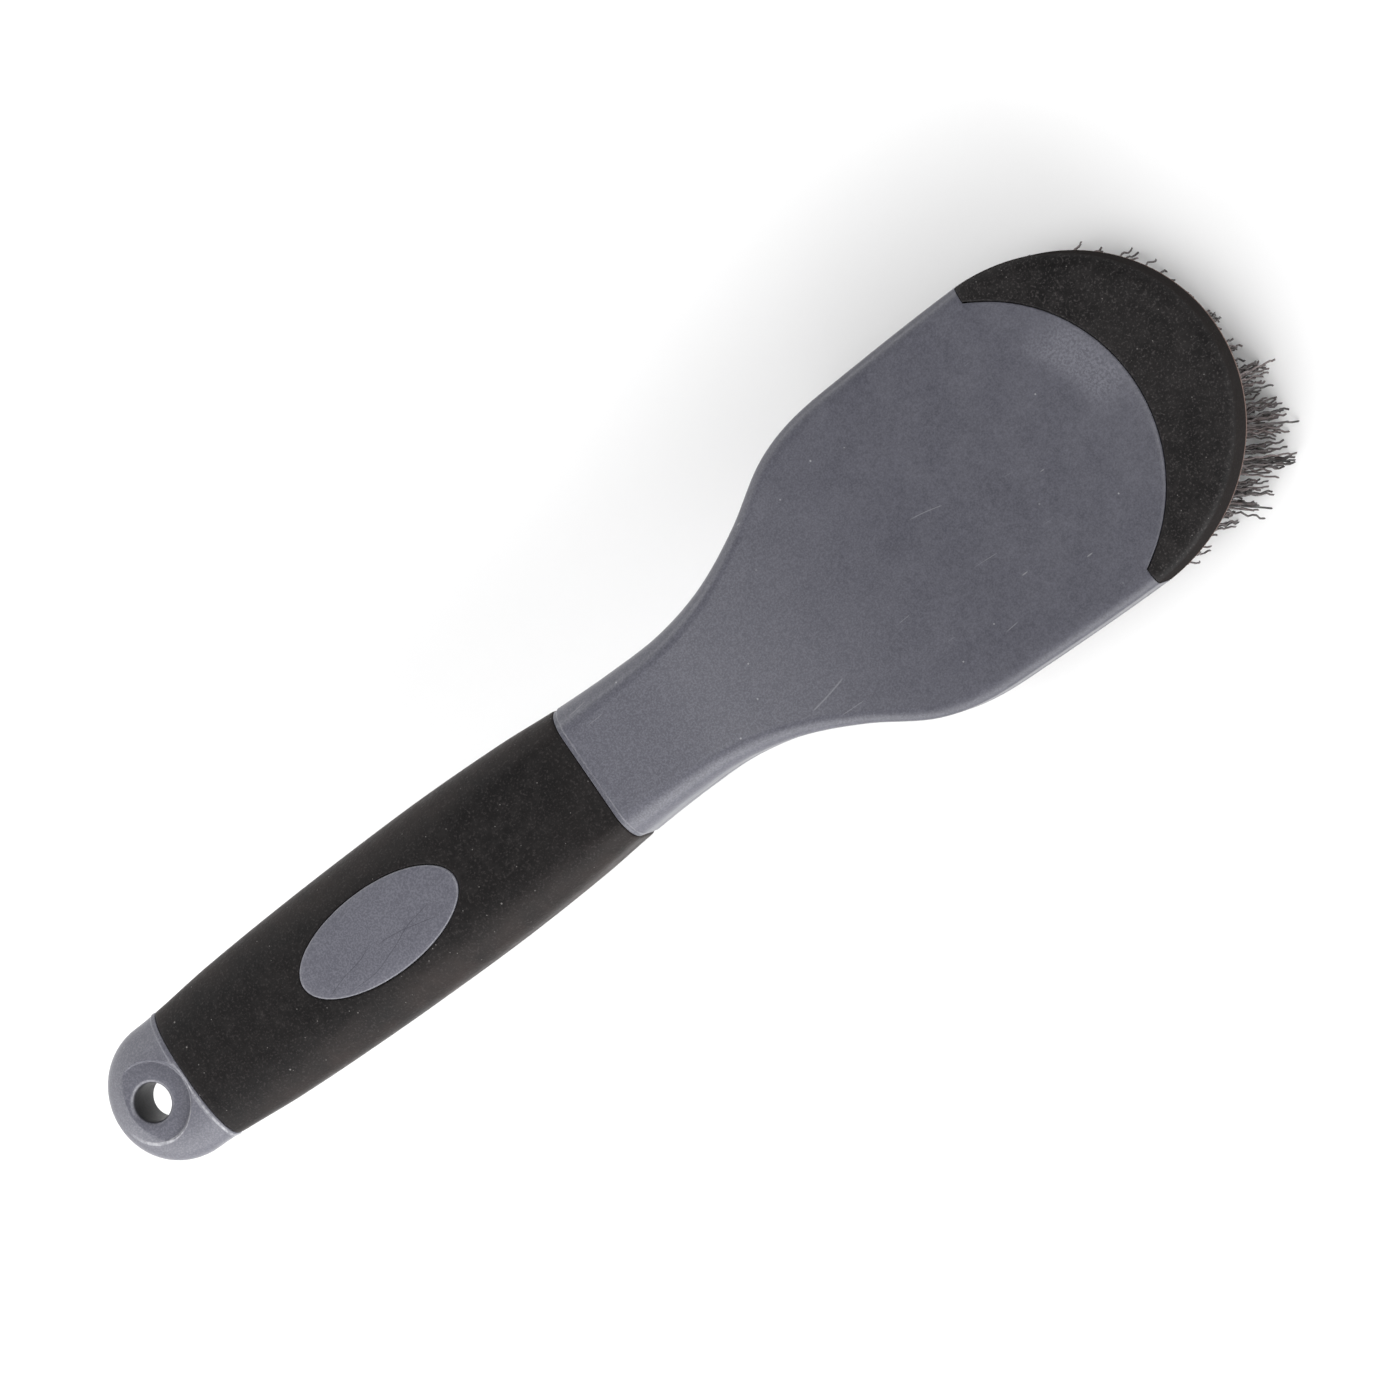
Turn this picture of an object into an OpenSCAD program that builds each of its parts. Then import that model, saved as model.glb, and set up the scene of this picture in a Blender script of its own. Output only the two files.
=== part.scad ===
// Wheel brush: a one-piece plastic handle and head with a soft grip sleeve over the
// handle, a soft bumper round the tip and bristle tufts stapled into the head.
// The butt points to -X and the tip to +X, the top face is up, and the bristles
// stand on z = 0. Places along the brush are measured from the butt end.

/* [Overall] */
// Length from the butt end to the tip
length = 280; // [278:1:290]
// Width across the head
head_w = 70; // [68:0.5:74]
// Width across the grip at its fullest
grip_w = 34.4; // [33.6:0.2:36]
// Width across the neck at its slimmest
neck_w = 29.2; // [28.8:0.2:31]
// Radius of the rounded butt end
butt_r = 14.5; // [14:0.1:15.2]
// Length of the rounded tip beyond the straight sides
tip_len = 38; // [36:1:40]
// Thickness of the head
head_t = 9.5; // [9.2:0.1:12]
// Height of the head's underside above the bristle tips
bristle_len = 30; // [26:1:34]

/* [Hanging hole] */
// Diameter of the hole through the butt
hole_d = 8; // [6:0.5:9]
// Distance of the hole's centre from the butt end
hole_from_butt = 10.6; // [10.4:0.1:11.4]
// Length of the hole between its two spot faces
hole_len = 11.5; // [11:0.1:12]
// Diameter of the flat spot face round the hole
spot_d = 17.4; // [15:0.2:18]

/* [Grip sleeve] */
// Where the sleeve starts, next to the butt cap
grip_start = 20.4; // [20:0.1:24]
// Where the sleeve ends, next to the neck
grip_end = 127; // [120:1:130]
// Wall of the sleeve
grip_wall = 2.5; // [1.5:0.1:3]
// Length of the oval window in the sleeve's top
oval_len = 40; // [30:1:46]
// Width of the oval window
oval_w = 18; // [12:1:20]
// Where the oval window's centre is
oval_from_butt = 72.5; // [65:0.5:80]

/* [Tip bumper] */
// Where the bumper's corners start
bumper_start = 243; // [242:0.5:248]
// Thickness of the bumper round the front wall
bumper_wall = 2; // [1.5:0.1:2.5]
// Depth of the bumper in the top face
bumper_top = 2.2; // [1.5:0.1:2.5]
// Radius of the bumper's inner edge
bumper_inner_r = 35; // [34:0.5:36]
// Where that inner edge comes nearest to the tip
bumper_inner_end = 262.4; // [258:0.2:264]

/* [Bristle tufts] */
// Diameter of a tuft in its hole
tuft_d = 3.7; // [3:0.1:4]
// Diameter of a tuft at its tips
tuft_tip_d = 5.2; // [4:0.1:5.4]
// Depth of the tuft holes
tuft_depth = 5.8; // [5:0.1:6]
// Distance between neighbouring tufts
tuft_pitch = 7.2; // [7:0.1:7.4]
// Distance of the outer tufts from the head's edge
edge_inset = 6.5; // [6:0.1:7.5]
// Number of tufts along each straight side
side_tufts = 6; // [4:1:6]
// Number of tufts round the tip
tip_tufts = 14; // [12:1:14]
// Number of crosswise rows inside the outer tufts
rows = 10; // [8:1:10]
// Outward lean of the foremost tuft, in degrees
tip_lean = 2; // [0:0.5:6]
// Outward lean of the side tufts, in degrees
side_lean = 2; // [0:0.5:4]

/* [Staples] */
// Height of the flat wire
staple_h = 1.6; // [1.2:0.1:2]
// Thickness of the flat wire
staple_t = 0.4; // [0.3:0.05:0.6]
// Length of one staple across its tuft
staple_len = 3.4; // [2.6:0.1:3.5]

/* [Hidden] */
row_numbers = [for (i = [1:rows]) i];

head_top = bristle_len + head_t;
tip_start = length - tip_len;

// Facets of the round shapes
bumper_facets = 96;
hole_facets = 48;
spot_facets = 64;
tuft_facets = 24;
oval_turn = 6;

// Half widths of the brush seen from above: [distance from butt, half width]
outline = [
    [butt_r, butt_r], [36, 0.465 * grip_w], [56, 0.49 * grip_w], [76, 0.5 * grip_w],
    [95, 0.497 * grip_w], [114, 0.473 * grip_w], [128, 0.517 * neck_w], [142, 0.5 * neck_w],
    [154, 0.513 * neck_w], [166, 0.254 * head_w], [178, 0.332 * head_w],
    [190, 0.434 * head_w], [200, 0.477 * head_w], [214, 0.491 * head_w],
    [tip_start, 0.5 * head_w]];

// Heights of the top face above the head's underside: [distance from butt, height]
top_line = [
    [0, 14.4], [11, 14.5], [21, 15], [50, 16.4], [85, 17], [108, 17], [127, 16.5],
    [140, 15.4], [150, 14.3], [163, 12.4], [178, head_t + 1.2], [192, head_t + 0.3],
    [205, head_t]];

// Heights of the underside above the head's underside
bottom_line = [
    [0, 0.6], [11, 0.5], [21, 0], [50, -1.8], [85, -3], [108, -3], [127, -2.5],
    [150, -1.5], [172, -0.5], [195, 0]];

// Roundness of the long edges: [distance from butt, distance in from the wall]
top_round_in = [[14.5, 12.5], [60, 13], [100, 10], [127, 6], [160, 4], [195, 3.2]];
bottom_round_in = [[14.5, 12.5], [60, 13], [100, 10], [127, 6], [160, 3], [195, 1]];
// Roundness of the same edges: [distance from butt, height of the rounding]
top_round_up = [[14.5, 6.4], [60, 8.5], [100, 8], [127, 6], [160, 3.6], [195, 1.8]];
bottom_round_up = [[14.5, 6.4], [60, 8.5], [100, 8], [127, 6], [160, 3], [195, 1]];

// How far the top face bends down towards the tip, and where the bend starts
tip_fall = 1.6;
tip_fall_start = 250;

// Steps of the faceted surface
butt_steps = 11;
side_step = 6.5;
tip_steps = 14;
bottom_turns = [90, 60, 30, 0];
top_turns = [0, 15, 30, 45, 60, 75, 90];
first_turn = 4;
least_round = 0.5;

// Turns a distance from the butt end into the frame's x
function at(s) = s - length / 2;

// Slope of a curve through its point i, level at both ends
function slope(p, i) = i == 0 || i == len(p) - 1 ? 0 :
    (p[i + 1][1] - p[i - 1][1]) / (p[i + 1][0] - p[i - 1][0]);

// A curve through the points p, between point i and the next, with t from 0 to 1
function span(p, i, t) = let (w = p[i + 1][0] - p[i][0])
    p[i][1] * (2 * t^3 - 3 * t^2 + 1) + w * slope(p, i) * (t^3 - 2 * t^2 + t)
    + p[i + 1][1] * (3 * t^2 - 2 * t^3) + w * slope(p, i + 1) * (t^3 - t^2);

// A smooth curve through the points p, level before the first and after the last
function curve(p, s) = let (last = len(p) - 1)
    s <= p[0][0] ? p[0][1] : s >= p[last][0] ? p[last][1] :
    let (i = max([for (k = [0:last - 1]) if (p[k][0] <= s) k]))
    span(p, i, (s - p[i][0]) / (p[i + 1][0] - p[i][0]));

function fall(s) = tip_fall * (max(0, s - tip_fall_start) / (length - tip_fall_start))^2;
function top_z(s) = bristle_len + curve(top_line, s) - fall(s);
function bottom_z(s) = bristle_len + curve(bottom_line, s);

// Stations round one half of the outline: [distance, half width, inward direction]
function butt_station(a) = [
    butt_r * (1 - cos(a)), butt_r * sin(a), [cos(a), -sin(a)]];
function tip_normal(a) = let (n = [cos(a) / tip_len, sin(a) / (head_w / 2)]) -n / norm(n);
function tip_station(a) = [
    tip_start + tip_len * cos(a), head_w / 2 * sin(a), tip_normal(a)];
side_steps = ceil((tip_start - butt_r) / side_step);
stations = concat(
    [for (i = [0:butt_steps - 1])
        butt_station(first_turn + (90 - first_turn) * i / (butt_steps - 1))],
    [for (i = [1:side_steps - 1])
        let (s = butt_r + (tip_start - butt_r) * i / side_steps)
        [s, curve(outline, s), [0, -1]]],
    [for (i = [0:tip_steps - 1])
        tip_station(90 - (90 - first_turn) * i / (tip_steps - 1))]);

// The points of one station from the underside, up the wall, to the top face.
// The form is smaller than the brush by inset at the walls, drop at the top and
// lift at the underside.
function bottom_point(st, a, inset, lift) = let (
    round_in = max(least_round, curve(bottom_round_in, st[0]) - inset),
    round_up = max(least_round, curve(bottom_round_up, st[0]) - max(0, lift)),
    d = inset + round_in * (1 - cos(a)),
    s = st[0] + d * st[2][0])
    [at(s), st[1] + d * st[2][1], bottom_z(s) + lift + round_up * (1 - sin(a))];
function top_point(st, a, inset, drop) = let (
    round_in = max(least_round, curve(top_round_in, st[0]) - inset),
    round_up = max(least_round, curve(top_round_up, st[0]) - drop),
    d = inset + round_in * (1 - cos(a)),
    s = st[0] + d * st[2][0])
    [at(s), st[1] + d * st[2][1], top_z(s) - drop - round_up * (1 - sin(a))];
function section(st, inset, drop, lift) = concat(
    [for (a = bottom_turns) bottom_point(st, a, inset, lift)],
    [for (a = top_turns) top_point(st, a, inset, drop)]);

// The whole brush body as one closed skin, or a smaller copy of it
module form(inset, drop, lift) {
    levels = len(bottom_turns) + len(top_turns);
    n = len(stations);
    left = [for (st = stations) section(st, inset, drop, lift)];
    right = [for (k = [n - 1:-1:0]) [for (p = left[k]) [p[0], -p[1], p[2]]]];
    rings = concat(left, right);
    points = [for (r = rings) for (p = r) p];
    walls = [for (k = [0:2 * n - 1]) for (l = [0:levels - 2])
        let (a = k * levels + l, b = (k + 1) % (2 * n) * levels + l)
        each [[a, b + 1, a + 1], [a, b, b + 1]]];
    top_level = levels - 1;
    lids = [for (k = [0:n - 2])
        let (a = k * levels, b = (k + 1) * levels,
            c = (2 * n - 2 - k) * levels, d = (2 * n - 1 - k) * levels)
        each [[a, c, b], [a, d, c],
            [a + top_level, b + top_level, c + top_level],
            [a + top_level, c + top_level, d + top_level]]];
    polyhedron(points, concat(walls, lids));
}

// The space of the grip sleeve, without the oval window
module grip_space() {
    reach = head_w;
    oval_floor = bristle_len + head_t / 2;
    difference() {
        translate([at(grip_start), -reach / 2, 0])
            cube([grip_end - grip_start, reach, 2 * head_top]);
        form(grip_wall, grip_wall, grip_wall);
        translate([at(oval_from_butt), 0, oval_floor])
            linear_extrude(head_top) oval();
    }
}

// Outline of the oval window, about its own centre
module oval() {
    polygon([for (a = [0:oval_turn:360 - oval_turn]) [oval_len / 2 * cos(a), oval_w / 2 * sin(a)]]);
}

// The space of the tip bumper, open inwards along a round edge
module bumper_space() {
    below = 10;
    reach = head_w + below;
    difference() {
        translate([at(bumper_start), -reach / 2, 0])
            cube([length - bumper_start + below, reach, 2 * head_top]);
        form(bumper_wall, bumper_top, -below);
        translate([at(bumper_inner_end - bumper_inner_r), 0, 0])
            cylinder(r = bumper_inner_r, h = 2 * head_top, $fn = bumper_facets);
    }
}

// The hole through the butt with a flat spot face at each end
module hanging_hole() {
    mid = bristle_len + curve(bottom_line, hole_from_butt) / 2
        + curve(top_line, hole_from_butt) / 2;
    translate([at(hole_from_butt), 0, 0]) {
        cylinder(d = hole_d, h = 2 * head_top, $fn = hole_facets);
        translate([0, 0, mid + hole_len / 2])
            cylinder(d = spot_d, h = head_top, $fn = spot_facets);
        translate([0, 0, mid - hole_len / 2 - head_top])
            cylinder(d = spot_d, h = head_top, $fn = spot_facets);
    }
}

// Places of the tufts: [distance from butt, y]
function side_places(side) = [for (i = [1:side_tufts])
    let (s = tip_start - i * tuft_pitch) [s, side * (curve(outline, s) - edge_inset)]];
function tip_places() = [for (i = [0:tip_tufts - 1]) let (a = 90 - 180 * i / (tip_tufts - 1))
    [tip_start + (tip_len - edge_inset) * cos(a), (head_w / 2 - edge_inset) * sin(a)]];

// The inner rows stand staggered inside an oval field
row_pitch = 7.5;
row_start = tip_start - side_tufts * tuft_pitch;
row_tufts = 7;
field_inset = edge_inset + 0.83 * tuft_pitch;
field_r = [tip_len - field_inset, head_w / 2 - field_inset];
function in_field(s, y) = (max(0, s - tip_start) / field_r[0])^2 + (y / field_r[1])^2 < 1;
function row_places(i) = let (s = row_start + (i - 1) * row_pitch, n = row_tufts - (i - 1) % 2)
    [for (j = [0:n - 1]) let (y = (j - (n - 1) / 2) * tuft_pitch) if (in_field(s, y)) [s, y]];

// Stands its children at a tuft's hole mouth, leaning outwards with the tuft
module at_tuft(place) {
    lean_x = tip_lean * (place[0] - row_start) / (length - edge_inset - row_start);
    lean_y = side_lean * place[1] / (head_w / 2 - edge_inset);
    translate([at(place[0]), place[1], bristle_len]) rotate([lean_y, -lean_x, 0]) children();
}

module tuft_hole(place) {
    clear = 2;
    at_tuft(place) translate([0, 0, -clear])
        cylinder(d = tuft_d, h = tuft_depth + clear, $fn = tuft_facets);
}

// The staple sits across its tuft, a little short of the hole's end
module staple(place) {
    gap = 1;
    at_tuft(place) translate([0, 0, tuft_depth - gap - staple_h / 2])
        cube([staple_t, staple_len, staple_h], center = true);
}

module tuft(place) {
    over = 3;
    reach = 20;
    difference() {
        at_tuft(place) rotate_extrude($fn = tuft_facets) polygon([
            [0, tuft_depth], [tuft_d / 2, tuft_depth], [tuft_d / 2, 0],
            [tuft_tip_d / 2, -bristle_len - over], [0, -bristle_len - over]]);
        staple(place);
        translate([at(place[0]) - reach / 2, place[1] - reach / 2, -reach])
            cube([reach, reach, reach]);
    }
}

module tufts(places) {
    color("#3a3330") for (p = places) tuft(p);
}

module staples(places) {
    color("silver") for (p = places) staple(p);
}

all_places = concat(side_places(1), tip_places(), side_places(-1),
    [for (i = row_numbers) each row_places(i)]);

// Butt cap, tang under the grip, neck and head in one moulding
module moulded_body() {
    color("#66666e") difference() {
        form(0, 0, 0);
        grip_space();
        bumper_space();
        hanging_hole();
        for (p = all_places) tuft_hole(p);
    }
}

module grip_sleeve() {
    color("#2b2a2a") intersection() {
        form(0, 0, 0);
        grip_space();
    }
}

module tip_bumper() {
    color("#232222") intersection() {
        form(0, 0, 0);
        bumper_space();
    }
}

moulded_body();
grip_sleeve();
tip_bumper();
tufts(side_places(1));  // tufts_left_edge
tufts(tip_places());  // tufts_tip_edge
tufts(side_places(-1));  // tufts_right_edge
staples(side_places(1));  // staples_left_edge
staples(tip_places());  // staples_tip_edge
staples(side_places(-1));  // staples_right_edge
for (i = row_numbers) {
    tufts(row_places(i));
    staples(row_places(i));
}
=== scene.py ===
import math
import bmesh
import bpy
from mathutils import Matrix, Vector


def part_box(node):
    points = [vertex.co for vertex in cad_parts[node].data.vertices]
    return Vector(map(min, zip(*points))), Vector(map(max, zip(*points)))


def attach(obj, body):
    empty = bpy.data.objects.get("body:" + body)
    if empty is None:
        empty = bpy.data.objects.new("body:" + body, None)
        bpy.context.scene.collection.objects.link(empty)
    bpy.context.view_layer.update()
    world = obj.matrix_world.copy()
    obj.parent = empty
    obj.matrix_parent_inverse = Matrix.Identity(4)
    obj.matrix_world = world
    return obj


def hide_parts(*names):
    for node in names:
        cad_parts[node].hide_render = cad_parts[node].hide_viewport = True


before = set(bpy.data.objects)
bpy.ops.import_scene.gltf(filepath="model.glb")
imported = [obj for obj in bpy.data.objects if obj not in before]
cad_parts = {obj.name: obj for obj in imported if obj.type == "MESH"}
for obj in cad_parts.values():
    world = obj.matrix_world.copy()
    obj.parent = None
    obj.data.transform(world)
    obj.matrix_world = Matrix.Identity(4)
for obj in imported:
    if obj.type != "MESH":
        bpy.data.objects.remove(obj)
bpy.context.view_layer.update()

# Everything below is worked out in millimetres, with places along the brush measured
# from the butt end, and goes to metres when a mesh is made.
MM = 0.001


def span_of(node, axis):
    low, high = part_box(node)
    return low[axis] / MM, high[axis] / MM


LENGTH = 280.0
HEAD_WIDTH = round(span_of("moulded_body", 1)[1] - span_of("moulded_body", 1)[0])
BUTT_RADIUS = 14.5
TIP_LENGTH = 38.0
TIP_START = LENGTH - TIP_LENGTH
BRISTLE_LENGTH = 30.0
HEAD_THICKNESS = 9.5
GRIP_START, GRIP_END = (x + LENGTH / 2 for x in span_of("grip_sleeve", 0))
GRIP_WALL = 2.5
BUMPER_START = span_of("tip_bumper", 0)[0] + LENGTH / 2
BUMPER_WALL = 2.0
BUMPER_TOP = 2.2
BUMPER_INNER_RADIUS = 35.0
BUMPER_INNER_CENTRE = 227.4
OVAL_CENTRE = 72.5
OVAL_LENGTH = 40.0
OVAL_WIDTH = 18.0
HOLE_CENTRE = 10.6
HOLE_RADIUS = 4.0
SPOT_RADIUS = 8.7
PAD_HEIGHT = 0.12
TUFT_RADIUS = 1.85
TUFT_TIP_RADIUS = 2.6
TUFT_DEPTH = 5.8
TUFT_PITCH = 7.2
ROW_PITCH = 7.5
EDGE_INSET = 6.5
SIDE_TUFTS = 6
TIP_TUFTS = 14
ROWS = 10
ROW_TUFTS = 7
TIP_LEAN = math.radians(2)
SIDE_LEAN = math.radians(2)
GRIP_WIDTH = 34.4
NECK_WIDTH = 29.2

# The filaments of one tuft, and how far their roots go in and their tips stray and differ
FILAMENTS = 32
FILAMENT_STEPS = 20
FILAMENT_RADIUS = 0.24
ROOT_DEPTH = 4.5
STRAY = 2.8
RAGGED = 2.2
CRIMP = 0.3
CRIMP_LENGTH = 5.6

# Gap that shows between the hard plastic and the rubber, and the radius of their edges
SEAM = 0.06
RUBBER_EDGE = 0.45
PLASTIC_EDGE = 0.3
EDGE_ANGLES = (0, 22, 45, 67, 90)

# Steps of the hard plastic beside the rubber: inwards at the neck, outwards at the butt
NECK_STEP = 0.26
BUTT_SWELL = 0.16

# Half widths of the brush seen from above: (distance from butt, half width)
OUTLINE = [
    (BUTT_RADIUS, BUTT_RADIUS), (36, 0.465 * GRIP_WIDTH), (56, 0.49 * GRIP_WIDTH),
    (76, 0.5 * GRIP_WIDTH), (95, 0.497 * GRIP_WIDTH), (114, 0.473 * GRIP_WIDTH),
    (128, 0.517 * NECK_WIDTH), (142, 0.5 * NECK_WIDTH), (154, 0.513 * NECK_WIDTH),
    (166, 0.254 * HEAD_WIDTH), (178, 0.332 * HEAD_WIDTH), (190, 0.434 * HEAD_WIDTH),
    (200, 0.477 * HEAD_WIDTH), (214, 0.491 * HEAD_WIDTH), (TIP_START, 0.5 * HEAD_WIDTH)]

# Heights of the top and of the underside, above the underside of the head
TOP_LINE = [
    (0, 14.4), (11, 14.5), (21, 15), (50, 16.4), (85, 17), (108, 17), (127, 16.5),
    (140, 15.4), (150, 14.3), (163, 12.4), (178, HEAD_THICKNESS + 1.2),
    (192, HEAD_THICKNESS + 0.3), (205, HEAD_THICKNESS)]
BOTTOM_LINE = [
    (0, 0.6), (11, 0.5), (21, 0), (50, -1.8), (85, -3), (108, -3), (127, -2.5),
    (150, -1.5), (172, -0.5), (195, 0)]

# Roundness of the long edges, inwards from the wall and up
TOP_ROUND_IN = [(14.5, 12.5), (60, 13), (100, 10), (127, 6), (160, 4), (195, 3.2)]
TOP_ROUND_UP = [(14.5, 6.4), (60, 8.5), (100, 8), (127, 6), (160, 3.6), (195, 1.8)]
BOTTOM_ROUND_IN = [(14.5, 12.5), (60, 13), (100, 10), (127, 6), (160, 3), (195, 1)]
BOTTOM_ROUND_UP = [(14.5, 6.4), (60, 8.5), (100, 8), (127, 6), (160, 3), (195, 1)]
LEAST_ROUND = 0.5

# How far the top falls towards the tip, and where that starts
TIP_FALL = 1.6
TIP_FALL_START = 250.0


def slope(points, i):
    if i in (0, len(points) - 1):
        return 0.0
    return (points[i + 1][1] - points[i - 1][1]) / (points[i + 1][0] - points[i - 1][0])


def curve(points, s):
    """A smooth curve through the points, level before the first and after the last."""
    if s <= points[0][0]:
        return points[0][1]
    if s >= points[-1][0]:
        return points[-1][1]
    i = max(k for k in range(len(points) - 1) if points[k][0] <= s)
    width = points[i + 1][0] - points[i][0]
    t = (s - points[i][0]) / width
    return (points[i][1] * (2 * t**3 - 3 * t**2 + 1)
            + width * slope(points, i) * (t**3 - 2 * t**2 + t)
            + points[i + 1][1] * (3 * t**2 - 2 * t**3)
            + width * slope(points, i + 1) * (t**3 - t**2))


def top_z(s):
    bend = max(0.0, s - TIP_FALL_START) / (LENGTH - TIP_FALL_START)
    return BRISTLE_LENGTH + curve(TOP_LINE, s) - TIP_FALL * bend**2


def bottom_z(s):
    return BRISTLE_LENGTH + curve(BOTTOM_LINE, s)


def at(s, y, z):
    """A point of the frame, from its distance from the butt."""
    return (s - LENGTH / 2, y, z)


def x_at(s):
    """The frame's X in metres, from a distance from the butt."""
    return (s - LENGTH / 2) * MM


def quarter(radius, angles):
    """Steps round a quarter circle, each as (what is left to go along, the drop)."""
    turns = [math.radians(a) for a in angles]
    return [(radius * (1 - math.sin(t)), radius * (1 - math.cos(t))) for t in turns]


def top_surface(s, y):
    """Height of the handle's rounded top over a place seen from above."""
    inward = curve(OUTLINE, s) - abs(y)
    round_in = curve(TOP_ROUND_IN, s)
    if inward >= round_in:
        return top_z(s)
    rise = math.sqrt(max(0.0, 1 - (1 - inward / round_in)**2))
    return top_z(s) - curve(TOP_ROUND_UP, s) * (1 - rise)


# ---------------------------------------------------------------- mesh building

class Skin:
    """A piece's points and faces, collected row by row and merged at the end."""

    def __init__(self):
        self.points = []
        self.faces = []

    def row(self, points):
        start = len(self.points)
        self.points.extend(points)
        return list(range(start, len(self.points)))

    def join(self, a, b, closed=False):
        """Faces between two rows with the same number of points."""
        count = len(a)
        for i in range(count if closed else count - 1):
            k = (i + 1) % count
            self.faces.append((a[i], a[k], b[k], b[i]))

    def rows(self, rows, closed=False):
        made = [self.row(r) for r in rows]
        for a, b in zip(made, made[1:]):
            self.join(a, b, closed)
        return made

    def lid(self, ring):
        self.faces.append(tuple(ring))

    def mesh(self, name):
        mesh = bpy.data.meshes.new(name)
        mesh.from_pydata([Vector(p) * MM for p in self.points], [], self.faces)
        b = bmesh.new()
        b.from_mesh(mesh)
        bmesh.ops.remove_doubles(b, verts=b.verts, dist=2e-6)
        bmesh.ops.dissolve_degenerate(b, edges=b.edges, dist=1e-6)
        bmesh.ops.recalc_face_normals(b, faces=b.faces)
        b.to_mesh(mesh)
        b.free()
        return mesh


def smooth(mesh, degrees=35):
    """Smooth shading, with sharp edges above an angle."""
    mesh.shade_smooth()
    mesh.set_sharp_from_angle(angle=math.radians(degrees))


def new_piece(name, mesh):
    piece = bpy.data.objects.new(name, mesh)
    bpy.context.scene.collection.objects.link(piece)
    return piece


def applied(piece):
    """The piece with its modifiers made real and removed."""
    graph = bpy.context.evaluated_depsgraph_get()
    mesh = bpy.data.meshes.new_from_object(piece.evaluated_get(graph))
    piece.modifiers.clear()
    old = piece.data
    piece.data = mesh
    bpy.data.meshes.remove(old)
    mesh.name = piece.name
    return piece


def cut_away(piece, cutter):
    """Cuts the cutter's space out of the piece and removes the cutter."""
    cut = piece.modifiers.new("cut", "BOOLEAN")
    cut.operation = "DIFFERENCE"
    cut.solver = "EXACT"
    cut.object = cutter
    applied(piece)
    bpy.data.objects.remove(cutter)


# ---------------------------------------------------------------- brush sections

# Where the bumper's inner corner stands, as a share of the flat half width
CORNER_Y = math.sqrt(BUMPER_INNER_RADIUS**2 - (BUMPER_START - BUMPER_INNER_CENTRE)**2)
CORNER_SHARE = CORNER_Y / (curve(OUTLINE, BUMPER_START) - curve(TOP_ROUND_IN, BUMPER_START))
COLUMNS = 16
SHARES = [CORNER_SHARE * i / COLUMNS for i in range(COLUMNS + 1)]
TURNS = [math.radians(a) for a in range(90, -1, -9)]


def butt_station(angle):
    return (BUTT_RADIUS * (1 - math.cos(angle)), BUTT_RADIUS * math.sin(angle),
            math.cos(angle), -math.sin(angle))


def side_station(s):
    return (s, curve(OUTLINE, s), 0.0, -1.0)


def tip_station(angle):
    across = HEAD_WIDTH / 2
    nx, ny = math.cos(angle) / TIP_LENGTH, math.sin(angle) / across
    size = math.hypot(nx, ny)
    return (TIP_START + TIP_LENGTH * math.cos(angle), across * math.sin(angle),
            -nx / size, -ny / size)


def edge_profile(station, inset=0.0, drop=0.0, lift=0.0, parting=0.0):
    """From the flat top over the long edge and down the wall to the flat underside."""
    s0, half, nx, ny = station
    top_in = max(LEAST_ROUND, curve(TOP_ROUND_IN, s0) - inset)
    top_up = max(LEAST_ROUND, curve(TOP_ROUND_UP, s0) - drop)
    low_in = max(LEAST_ROUND, curve(BOTTOM_ROUND_IN, s0) - inset)
    low_up = max(LEAST_ROUND, curve(BOTTOM_ROUND_UP, s0) - max(0.0, lift))
    points = []
    for a in TURNS:
        d = inset + top_in * (1 - math.cos(a))
        s = s0 + d * nx
        points.append(at(s, half + d * ny, top_z(s) - drop - top_up * (1 - math.sin(a))))
    low = []
    for a in reversed(TURNS):
        d = inset + low_in * (1 - math.cos(a))
        s = s0 + d * nx
        low.append(at(s, half + d * ny, bottom_z(s) + lift + low_up * (1 - math.sin(a))))
    high_end, low_end = points[-1][2], low[0][2]
    line = low_end + 0.35 * (high_end - low_end)
    for z, d in ((0.5 * (high_end + line), 0.0), (line + 0.25, 0.0), (line, parting),
                 (line - 0.25, 0.0), (0.5 * (low_end + line), 0.0)):
        points.append(at(s0 + (inset + d) * nx, half + (inset + d) * ny, z))
    return points + low


def half_ring(station, inset=0.0, drop=0.0, lift=0.0, parting=0.0):
    """One side of a closed ring, from the middle of the top to the middle below."""
    edge = edge_profile(station, inset, drop, lift, parting)
    first, last = edge[0], edge[-1]
    top = [(first[0], first[1] * k, first[2]) for k in SHARES]
    low = [(last[0], last[1] * k, last[2]) for k in reversed(SHARES)]
    return top + edge + low


def ring(station, inset=0.0, drop=0.0, lift=0.0, parting=0.0):
    side = half_ring(station, inset, drop, lift, parting)
    other = [(x, -y, z) for x, y, z in reversed(side[1:-1])]
    return side + other


def offset_ring(s, amount, parting=0.0):
    return ring(side_station(s), amount, amount, amount, parting)


def steps(start, end, size):
    count = max(1, math.ceil((end - start) / size))
    return [start + (end - start) * i / count for i in range(count + 1)]


def rounded_end(s, radius, way):
    """Rings that round a sleeve's end off: way is 1 at its start and -1 at its end."""
    return [(s + way * run, drop) for run, drop in quarter(radius, reversed(EDGE_ANGLES))]


# ---------------------------------------------------------------- moulded body

def land(s):
    """Small steps of the hard plastic beside the rubber, as an offset inwards."""
    after_neck = s - GRIP_END
    before_butt = GRIP_START - s
    if 0 <= after_neck <= 1.3:
        return NECK_STEP * (1 - min(1.0, max(0.0, (after_neck - 0.85) / 0.35)))
    if 0.35 <= before_butt <= 1.2:
        return -BUTT_SWELL * math.sin(math.pi * (before_butt - 0.35) / 0.85)
    return 0.0


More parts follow.
